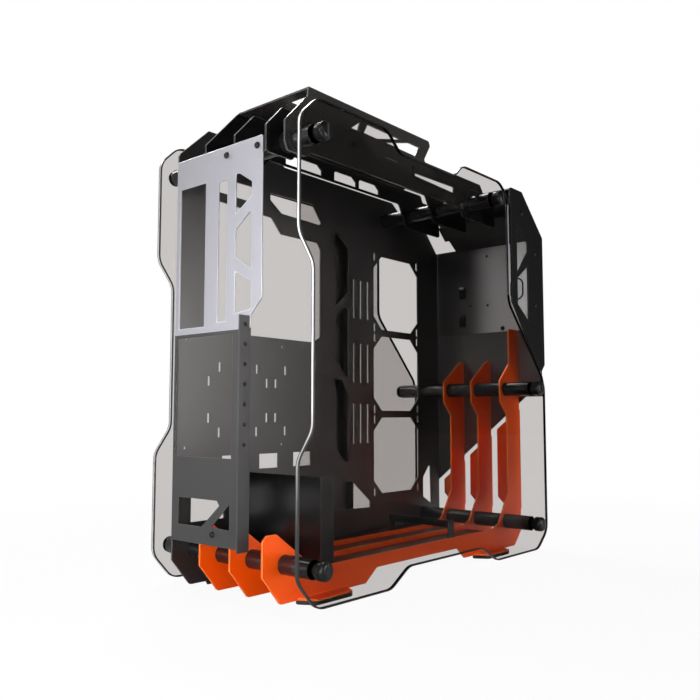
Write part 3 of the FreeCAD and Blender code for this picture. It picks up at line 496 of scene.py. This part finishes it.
def slotted_ends():
    """End of each nut on rows across the slot and columns along it: the crown's height at the point's
    radius, no higher than the slot floor between the slot walls."""
    reach = CROWN[0][0]
    wall = np.linspace(SLOT_HALF + SLOT_LEAN, reach, WALL_STEPS)
    rows = np.concatenate([-wall[::-1], [-SLOT_HALF, 0.0, SLOT_HALF], wall])
    y = np.broadcast_to(rows[:, None], (len(rows), END_STEPS))
    z = np.linspace(-1.0, 1.0, END_STEPS)[None] * np.sqrt(reach ** 2 - rows ** 2)[:, None]
    crown = np.array(CROWN)[::-1]
    height = np.interp(np.hypot(y, z), crown[:, 0], crown[:, 1])
    height = np.where(np.abs(y) <= SLOT_HALF, np.minimum(height, SLOT_FLOOR), height)
    one = np.stack([-height, y, z], axis=2).reshape(-1, 3) * MILLIMETRE
    centre = np.concatenate([np.full((len(rod_spots), 1), pane_out), rod_spots], axis=1)
    points = centre[:, None, :] + one[None]
    start = np.arange(len(rod_spots))[:, None, None] * len(one)
    quads = grid_quads(len(rows), END_STEPS, False)[None] + start
    return points.reshape(-1, 3), quads.reshape(-1, 4)


neck_points, neck_faces = turned(NECK, NUT_TURNS, pane_out, -1.0)
end_points, end_quads = slotted_ends()
nut_points = np.concatenate([neck_points, end_points])
nut_faces = neck_faces + (end_quads + len(neck_points)).tolist()
nuts = put_mesh("turned_nuts", nut_points, nut_faces, [nut_black], "case")
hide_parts("thumb_nuts")
cap_points, cap_faces = turned(CAP_SHAPE, CAP_TURNS, pane_far, 1.0)
caps = put_mesh("turned_caps", cap_points, cap_faces, [nut_black], "case")
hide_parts("cap_nuts")

# Foot pads: moulded black rubber blocks, glued under the folded foot shelves of the outer blade
# and the tray.
RUBBER_FACE = (0.012, 0.012, 0.012, 1.0)
# the edge colour is a faint painted highlight along the edges
RUBBER_EDGE_HIGHLIGHT = (0.03, 0.03, 0.03, 1.0)
rubber = coated("foot_rubber", RUBBER_FACE, RUBBER_EDGE_HIGHLIGHT, roughness=0.75, spread=0.10, grain=900.0,
                depth=0.5, radius=0.0010)
dress(rubber, "foot_rear_left", "foot_front_left", "foot_rear_right", "foot_front_right")

# Side panes: tempered glass, cut to outline and clamped at the rod ends. The glass is faintly smoked,
# and light that enters by an edge is lost in its length, so the edges look dark.
GLASS_TINT = (0.575, 0.555, 0.545, 1.0)
GLASS_RIM = (0.05, 0.05, 0.05, 1.0)
GLASS_BEND = 1.08
smoked_glass = bpy.data.materials.new("smoked_glass")
smoked_glass.use_nodes = True
tree, link = smoked_glass.node_tree.nodes, smoked_glass.node_tree.links.new
shader = tree["Principled BSDF"]
shader.inputs["Transmission Weight"].default_value = 1.0
shader.inputs["Roughness"].default_value = 0.0
shader.inputs["IOR"].default_value = GLASS_BEND
facing = tree.new("ShaderNodeNewGeometry")
across = tree.new("ShaderNodeVectorMath")
across.operation = "DOT_PRODUCT"
across.inputs[1].default_value = (1.0, 0.0, 0.0)
flat = tree.new("ShaderNodeMath")
flat.operation = "ABSOLUTE"
rim_mix = tree.new("ShaderNodeMix")
rim_mix.data_type = "RGBA"
rim_mix.inputs[6].default_value = GLASS_RIM
rim_mix.inputs[7].default_value = GLASS_TINT
link(facing.outputs["True Normal"], across.inputs[0])
link(across.outputs["Value"], flat.inputs[0])
link(flat.outputs[0], rim_mix.inputs[0])
link(rim_mix.outputs[2], shader.inputs["Base Color"])
dress(smoked_glass, "left_glass", "right_glass")

# Ground rims of the panes: every edge is ground round with a narrow arris on both faces, and looks
# dark. The rear edge of each pane carries a painted highlight, on the open side only in its upper part
# as it fades out towards the bottom, and the arris of that pane's front notch a dimmer painted highlight.
RIM_PROUD = 0.00004
RIM_CROWN = 0.00012
RIM_STEPS = 9
ARRIS = 0.0015
NOTCH_ARRIS = 0.0026
BORE_REACH = 0.008
SAME_PLANE = 1e-5
REAR_FACING = 0.6
NOTCH_FACING = -0.9
NOTCH_ABOVE = 0.34
NOTCH_SPAN = 0.03
RIM_DARK = (0.012, 0.012, 0.012, 1.0)
REAR_RIM_HIGHLIGHT_PAINT = (0.80, 0.80, 0.81, 1.0)
NOTCH_HIGHLIGHT_PAINT = (0.30, 0.30, 0.305, 1.0)
FAR_RIM_HIGHLIGHT_PAINT = (0.50, 0.495, 0.49, 1.0)
FADE_LOW = 0.07
FADE_HIGH = 0.26
dark_rim = coated("dark_rim", RIM_DARK, None, roughness=0.30, spread=0.05, grain=1500.0, depth=0.05,
                  gloss=0.3)
rear_rim_painted_highlight = coated("rear_rim_painted_highlight", RIM_DARK, REAR_RIM_HIGHLIGHT_PAINT, roughness=0.30, spread=0.05, grain=1500.0, depth=0.05)
# painted highlight fading with height: dark below FADE_LOW, pale above FADE_HIGH
tree, link = rear_rim_painted_highlight.node_tree.nodes, rear_rim_painted_highlight.node_tree.links.new
place = tree.new("ShaderNodeTexCoord")
level = tree.new("ShaderNodeSeparateXYZ")
ramp = tree.new("ShaderNodeMapRange")
ramp.interpolation_type = "SMOOTHSTEP"
ramp.inputs["From Min"].default_value = FADE_LOW
ramp.inputs["From Max"].default_value = FADE_HIGH
link(place.outputs["Object"], level.inputs[0])
link(level.outputs["Z"], ramp.inputs["Value"])
link(ramp.outputs["Result"], tree["Mix"].inputs[0])
notch_rim_painted_highlight = coated("notch_rim_painted_highlight", NOTCH_HIGHLIGHT_PAINT, None, roughness=0.30, spread=0.05, grain=1500.0, depth=0.05)
far_rim_painted_highlight = coated("far_rim_painted_highlight", FAR_RIM_HIGHLIGHT_PAINT, None, roughness=0.30, spread=0.05, grain=1500.0, depth=0.05)
RIM_KINDS = [dark_rim, rear_rim_painted_highlight, notch_rim_painted_highlight, far_rim_painted_highlight]


def rim_band(node, rear_kind, notch_kind):
    """Band round a pane's outline, mitred at each corner: a crowned profile across the thickness,
    x = half t and proud = RIM_PROUD + RIM_CROWN (1 - t^4), with a flat arris turned onto each face.
    The outline is the border of the pane's flat face, without its rod holes, and the two kinds are the
    materials of the rear edge's middle and of the notch's arris."""
    mesh = nodes[node].data
    raw = np.empty(len(mesh.vertices) * 3)
    mesh.vertices.foreach_get("co", raw)
    spots, same = np.unique(np.round(raw.reshape(-1, 3), 6), axis=0, return_inverse=True)
    mesh.calc_loop_triangles()
    corners = np.empty(len(mesh.loop_triangles) * 3, dtype=np.int32)
    mesh.loop_triangles.foreach_get("vertices", corners)
    tris = same.ravel()[corners].reshape(-1, 3)
    low, high = spots[:, 0].min(), spots[:, 0].max()
    tris = tris[np.all(spots[tris][:, :, 0] > high - SAME_PLANE, axis=1)]
    pairs = np.concatenate([tris[:, [0, 1]], tris[:, [1, 2]], tris[:, [2, 0]]])
    _, first, count = np.unique(np.sort(pairs, axis=1), axis=0, return_index=True, return_counts=True)
    border = pairs[first[count == 1]]
    middle = spots[border].mean(axis=1)[:, 1:]
    clear = np.linalg.norm(middle[:, None, :] - rod_spots[None], axis=2).min(axis=1) > BORE_REACH
    border = border[clear]
    run = spots[border[:, 1], 1:] - spots[border[:, 0], 1:]
    span = np.linalg.norm(run, axis=1)
    run /= span[:, None]
    side = np.stack([run[:, 1], -run[:, 0]], axis=1)
    used, at = np.unique(border, return_inverse=True)
    at = at.reshape(-1, 2)
    out = np.zeros((len(used), 2))
    np.add.at(out, at[:, 0], side)
    np.add.at(out, at[:, 1], side)
    out *= 2.0 / np.sum(out * out, axis=1, keepdims=True)
    mid_z = spots[border].mean(axis=1)[:, 2]
    rear = side[:, 0] > REAR_FACING
    notch = (side[:, 0] < NOTCH_FACING) & (mid_z > NOTCH_ABOVE) & (span > NOTCH_SPAN) & (notch_kind > 0)
    arris = np.full(len(used), ARRIS)
    arris[at[notch].ravel()] = NOTCH_ARRIS
    t = np.linspace(-1.0, 1.0, RIM_STEPS)
    crown = RIM_PROUD + RIM_CROWN * (1.0 - t ** 4)
    through = (low + high) / 2.0 + (high - low) / 2.0 * t
    x = np.concatenate([[low - RIM_PROUD] * 2, through, [high + RIM_PROUD] * 2])
    proud = np.concatenate([[0.0, RIM_PROUD], crown, [RIM_PROUD, 0.0]])[None] * np.ones((len(used), 1))
    proud[:, 0] = -arris
    proud[:, -1] = -arris
    flat = spots[used, 1:][:, None, :] + out[:, None, :] * proud[:, :, None]
    points = np.concatenate([np.broadcast_to(x[None, :, None], flat.shape[:2] + (1,)), flat], axis=2)
    row = np.arange(len(x) - 1)
    a = at[:, 0][:, None] * len(x) + row[None]
    b = at[:, 1][:, None] * len(x) + row[None]
    quads = np.stack([a, b, b + 1, a + 1], axis=2).reshape(-1, 4)
    on_face = (row == 0) | (row == len(row) - 1)
    inner = np.abs(row - row.mean()) < RIM_STEPS / 4.0
    which = rear_kind * (rear[:, None] & inner[None]) + notch_kind * (notch[:, None] & on_face[None])
    return put_mesh(node + "_rim", points.reshape(-1, 3), quads.tolist(), RIM_KINDS, "case",
                    which.astype(np.int32).ravel())


rim_band("left_glass", RIM_KINDS.index(rear_rim_painted_highlight), RIM_KINDS.index(notch_rim_painted_highlight))
rim_band("right_glass", RIM_KINDS.index(far_rim_painted_highlight), RIM_KINDS.index(dark_rim))

# Floor: a plain pale studio floor. Seen directly or through glass alone it is white, with a little of
# the object's shade kept close by, and in gloss it is bright on the far side.
FLOOR_SPAN = 6.0
FLOOR_FACE = (0.7, 0.7, 0.7, 1.0)
FLOOR_ROUGH = 0.6
FLOOR_SHARE = 0.94
FLOOR_NEAR = 0.45
FLOOR_AWAY = 1.3
GLOSS_FLOOR_FROM = 0.1
GLOSS_FLOOR_TO = 0.8
GLOSS_BRIGHT = 0.90
WHITE = (1.0, 1.0, 1.0, 1.0)


def straight_view(tree, link):
    """1 for a camera ray, or one that only passed through glass, and 0 after a diffuse or glossy turn."""
    rays = tree.new("ShaderNodeLightPath")
    shown = tree.new("ShaderNodeMath")
    shown.operation = "MAXIMUM"
    turns = tree.new("ShaderNodeMath")
    turns.operation = "ADD"
    none = tree.new("ShaderNodeMath")
    none.operation = "LESS_THAN"
    none.inputs[1].default_value = 0.5
    straight = tree.new("ShaderNodeMath")
    straight.operation = "MULTIPLY"
    link(rays.outputs["Is Camera Ray"], shown.inputs[0])
    link(rays.outputs["Is Transmission Ray"], shown.inputs[1])
    link(rays.outputs["Diffuse Depth"], turns.inputs[0])
    link(rays.outputs["Glossy Depth"], turns.inputs[1])
    link(turns.outputs[0], none.inputs[0])
    link(shown.outputs[0], straight.inputs[0])
    link(none.outputs[0], straight.inputs[1])
    return straight.outputs[0], rays


u, v = np.meshgrid(np.linspace(-1.0, 1.0, 2), np.linspace(-1.0, 1.0, 2))
corners = np.stack([u.ravel() * FLOOR_SPAN, v.ravel() * FLOOR_SPAN, np.zeros(4)], axis=1)
floor_mesh = bpy.data.meshes.new("floor")
floor_mesh.from_pydata(corners.tolist(), [], [(0, 1, 3, 2)])
floor = bpy.data.objects.new("floor", floor_mesh)
bpy.context.scene.collection.objects.link(floor)
floor_paint = bpy.data.materials.new("floor_paint")
floor_paint.use_nodes = True
tree, link = floor_paint.node_tree.nodes, floor_paint.node_tree.links.new
tree["Principled BSDF"].inputs["Base Color"].default_value = FLOOR_FACE
tree["Principled BSDF"].inputs["Roughness"].default_value = FLOOR_ROUGH
white = tree.new("ShaderNodeEmission")
white.inputs["Color"].default_value = WHITE
straight, rays = straight_view(tree, link)
place = tree.new("ShaderNodeTexCoord")
away = tree.new("ShaderNodeVectorMath")
away.operation = "LENGTH"
spread = tree.new("ShaderNodeMapRange")
spread.interpolation_type = "SMOOTHSTEP"
spread.inputs["From Min"].default_value = FLOOR_NEAR
spread.inputs["From Max"].default_value = FLOOR_AWAY
spread.inputs["To Min"].default_value = FLOOR_SHARE
spread.inputs["To Max"].default_value = 1.0
share = tree.new("ShaderNodeMath")
share.operation = "MULTIPLY"
mixed = tree.new("ShaderNodeMixShader")
link(place.outputs["Object"], away.inputs[0])
link(away.outputs["Value"], spread.inputs["Value"])
link(straight, share.inputs[0])
link(spread.outputs["Result"], share.inputs[1])
sideways = tree.new("ShaderNodeSeparateXYZ")
far_part = tree.new("ShaderNodeMapRange")
far_part.interpolation_type = "SMOOTHSTEP"
far_part.inputs["From Min"].default_value = GLOSS_FLOOR_FROM
far_part.inputs["From Max"].default_value = GLOSS_FLOOR_TO
far_part.inputs["To Min"].default_value = 0.0
far_part.inputs["To Max"].default_value = GLOSS_BRIGHT
glossed = tree.new("ShaderNodeMath")
glossed.operation = "MINIMUM"
glossed.inputs[1].default_value = 1.0
mirrored = tree.new("ShaderNodeMath")
mirrored.operation = "MULTIPLY"
either = tree.new("ShaderNodeMath")
either.operation = "MAXIMUM"
link(place.outputs["Object"], sideways.inputs[0])
link(sideways.outputs["X"], far_part.inputs["Value"])
link(rays.outputs["Glossy Depth"], glossed.inputs[0])
link(glossed.outputs[0], mirrored.inputs[0])
link(far_part.outputs["Result"], mirrored.inputs[1])
link(share.outputs[0], either.inputs[0])
link(mirrored.outputs[0], either.inputs[1])
link(either.outputs[0], mixed.inputs[0])
link(tree["Principled BSDF"].outputs[0], mixed.inputs[1])
link(white.outputs[0], mixed.inputs[2])
link(mixed.outputs[0], tree["Material Output"].inputs["Surface"])
floor_mesh.materials.append(floor_paint)

# Surroundings: a plain studio. Seen directly or through glass alone it is white, in gloss it is bright
# towards the far side and dark towards the open side, and elsewhere it gives a low even light.
SOFT_LEVEL = 0.07
GLOSS_DARK = 0.06
GLOSS_SIDE_FROM = -0.05
GLOSS_SIDE_TO = 0.5
world = bpy.data.worlds.new("studio")
bpy.context.scene.world = world
world.use_nodes = True
tree, link = world.node_tree.nodes, world.node_tree.links.new
tree.clear()
sky = tree.new("ShaderNodeOutputWorld")
plain = tree.new("ShaderNodeBackground")
plain.inputs["Color"].default_value = WHITE
straight, rays = straight_view(tree, link)
glossed = tree.new("ShaderNodeMath")
glossed.operation = "MINIMUM"
glossed.inputs[1].default_value = 1.0
heading = tree.new("ShaderNodeTexCoord")
sideways = tree.new("ShaderNodeSeparateXYZ")
gloss_side = tree.new("ShaderNodeMapRange")
gloss_side.interpolation_type = "SMOOTHSTEP"
gloss_side.inputs["From Min"].default_value = GLOSS_SIDE_FROM
gloss_side.inputs["From Max"].default_value = GLOSS_SIDE_TO
gloss_side.inputs["To Min"].default_value = GLOSS_DARK
gloss_side.inputs["To Max"].default_value = GLOSS_BRIGHT
level = tree.new("ShaderNodeMix")
level.inputs[2].default_value = SOFT_LEVEL
strength = tree.new("ShaderNodeMath")
strength.operation = "MAXIMUM"
link(rays.outputs["Glossy Depth"], glossed.inputs[0])
link(heading.outputs["Generated"], sideways.inputs[0])
link(sideways.outputs["X"], gloss_side.inputs["Value"])
link(glossed.outputs[0], level.inputs[0])
link(gloss_side.outputs["Result"], level.inputs[3])
link(level.outputs[0], strength.inputs[0])
link(straight, strength.inputs[1])
link(strength.outputs[0], plain.inputs["Strength"])
link(plain.outputs[0], sky.inputs["Surface"])


# Lamps: two large soft boxes light the rear corner and the open side, small ones fill the lower
# blades, the rear faces and the inner front, and two stand high on the far side.
def lamp(name, place, target, size, watts, height=None, spread=180.0):
    """Soft light at place, turned to face target; square, or size wide and height high, and held to a
    beam of spread degrees as by a grid."""
    data = bpy.data.lights.new(name, "AREA")
    data.shape = "RECTANGLE"
    data.size = size
    data.size_y = height or size
    data.spread = np.radians(spread)
    data.energy = watts
    obj = bpy.data.objects.new(name, data)
    bpy.context.scene.collection.objects.link(obj)
    obj.location = place
    obj.rotation_euler = (Vector(target) - Vector(place)).to_track_quat("-Z", "Y").to_euler()
    return obj


lamp("rear_softbox", (-1.5, 1.0, 0.95), (0.0, 0.1, 0.20), 1.0, 8.0)
lamp("side_softbox", (-1.53, -0.68, 0.40), (0.07, 0.15, 0.25), 0.7, 14.6)
lamp("low_fill", (-0.38, 0.78, 0.14), (0.0, 0.25, 0.05), 0.25, 4.2)
lamp("rear_card", (0.27, 0.74, 0.60), (0.0, 0.25, 0.40), 0.16, 0.5, 0.7)
lamp("inner_beam", (-0.09, 1.25, 0.36), (-0.06, -0.25, 0.33), 0.25, 0.22, spread=19.0)
lamp("low_card", (0.90, 1.30, 0.22), (0.0, 0.22, 0.10), 0.3, 1.0)
lamp("far_high", (1.3, 0.5, 1.6), (0.0, 0.0, 0.30), 0.4, 13.0)
lamp("top_strip", (0.9, -0.4, 1.9), (0.0, 0.0, 0.30), 0.5, 24.0)

# Camera: place, direction and focal length are those that were solved on the photograph, which shows
# the object from the rear and the open side.
CAMERA_PLACE = (-0.6392, 0.78285, 0.1939)
CAMERA_YAW = 40.84
CAMERA_PITCH = 4.75
CAMERA_FOCUS_PX = 777.2
IMAGE_PX = 700.0
SENSOR_MM = 36.0
CLIP_NEAR = 0.01
yaw, pitch = np.radians(CAMERA_YAW), np.radians(CAMERA_PITCH)
ahead = Vector((np.sin(yaw) * np.cos(pitch), -np.cos(yaw) * np.cos(pitch), np.sin(pitch)))
right = ahead.cross(Vector((0.0, 0.0, 1.0))).normalized()
up = right.cross(ahead)
view_data = bpy.data.cameras.new("camera")
view_data.sensor_width = SENSOR_MM
view_data.lens = SENSOR_MM * CAMERA_FOCUS_PX / IMAGE_PX
view_data.clip_start = CLIP_NEAR
camera = bpy.data.objects.new("camera", view_data)
bpy.context.scene.collection.objects.link(camera)
turn = Matrix((right, up, -ahead)).transposed().to_4x4()
camera.matrix_world = Matrix.Translation(CAMERA_PLACE) @ turn
bpy.context.scene.camera = camera
bpy.context.scene.view_settings.view_transform = "Standard"
